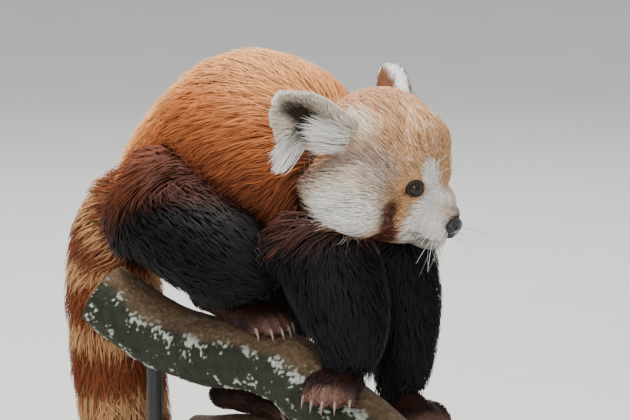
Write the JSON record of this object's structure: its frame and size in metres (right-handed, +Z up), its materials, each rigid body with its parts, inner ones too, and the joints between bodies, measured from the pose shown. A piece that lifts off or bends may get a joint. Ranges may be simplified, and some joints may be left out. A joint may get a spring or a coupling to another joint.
{
  "type": "red panda model on a branch perch",
  "caption": "Life-size still model of a red panda stepping down a forked branch, back arched and head forward, held by a plain display stand.",
  "frame": {"origin": "centre of the object's footprint box, on the underside of the stand's base", "axes": "+X forward along the animal's body, +Y to its left, +Z up"},
  "size_m": [0.4308, 0.21, 0.4551],
  "materials": {
    "coat_rust": "dense rust-red fur, golden along the back",
    "coat_face": "short tan fur with white cheeks, brows and muzzle",
    "coat_black": "blue-black fur, a little brown on the feet",
    "coat_white": "long white fur, dark inside the ear",
    "eye": "wet dark brown",
    "nose": "moist black leather-like skin",
    "bark": "rough bark, worn brown above, mossy with pale lichen below",
    "stand_wood": "dark stained, satin",
    "stand_metal": "black satin paint"
  },
  "bodies": {
    "root": {"head": "coat_face", "ear_right": "coat_white", "ear_left": "coat_white", "eye_right": "eye", "eye_left": "eye", "nose": "nose", "neck": "coat_rust", "torso": "coat_rust", "tail_root": "coat_rust", "tail_middle": "coat_rust", "tail_tip": "coat_rust", "leg_fore_right": "coat_black", "leg_fore_left": "coat_black", "leg_hind_right": "coat_black", "leg_hind_left": "coat_black", "fore_paw_right": "coat_black", "fore_paw_left": "coat_black", "hind_foot_right": "coat_black", "hind_foot_left": "coat_black", "perch_limb_near": "bark", "perch_limb_far": "bark", "stand_base": "stand_wood", "stand_rod_front": "stand_metal", "stand_rod_rear": "stand_metal"}
  },
  "joints": []
}
